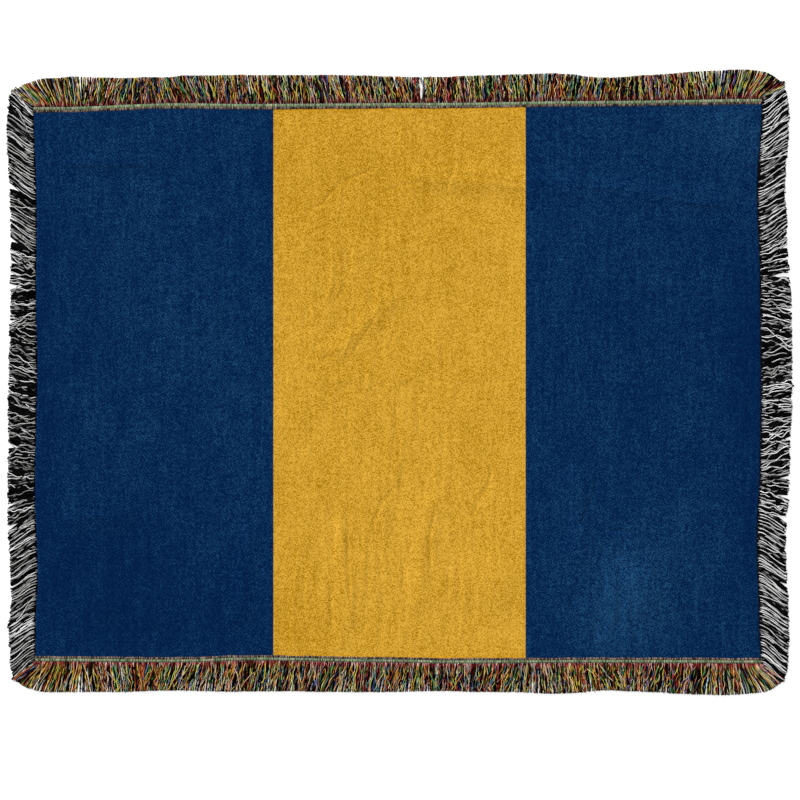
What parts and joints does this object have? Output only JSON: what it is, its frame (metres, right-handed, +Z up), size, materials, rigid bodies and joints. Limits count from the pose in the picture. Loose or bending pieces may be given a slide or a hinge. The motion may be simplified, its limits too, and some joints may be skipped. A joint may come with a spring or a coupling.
{
  "type": "throw blanket",
  "caption": "Woven cotton throw blanket, navy with a wide golden yellow centre stripe, with a loose yarn fringe on all four edges, laid flat.",
  "frame": {"origin": "on the floor, under the middle of the blanket with its fringe", "axes": "+X along the long edges, +Y along the stripes towards the top edge, +Z up off the floor"},
  "size_m": [1.5246, 1.2108, 0.0066],
  "materials": {
    "cotton_weave": "matt woven cotton, navy at both sides and golden yellow in the middle, with a sage green and brown heading at the top and bottom edges",
    "mixed_yarn": "loose cotton yarns, mostly black, with maroon, green, yellow, blue, orange and cream",
    "black_and_white_yarn": "loose cotton yarns in black and off-white"
  },
  "bodies": {
    "root": {"cloth": "cotton_weave", "fringe_top": "mixed_yarn", "fringe_right": "black_and_white_yarn", "fringe_bottom": "mixed_yarn", "fringe_left": "black_and_white_yarn"}
  },
  "joints": []
}
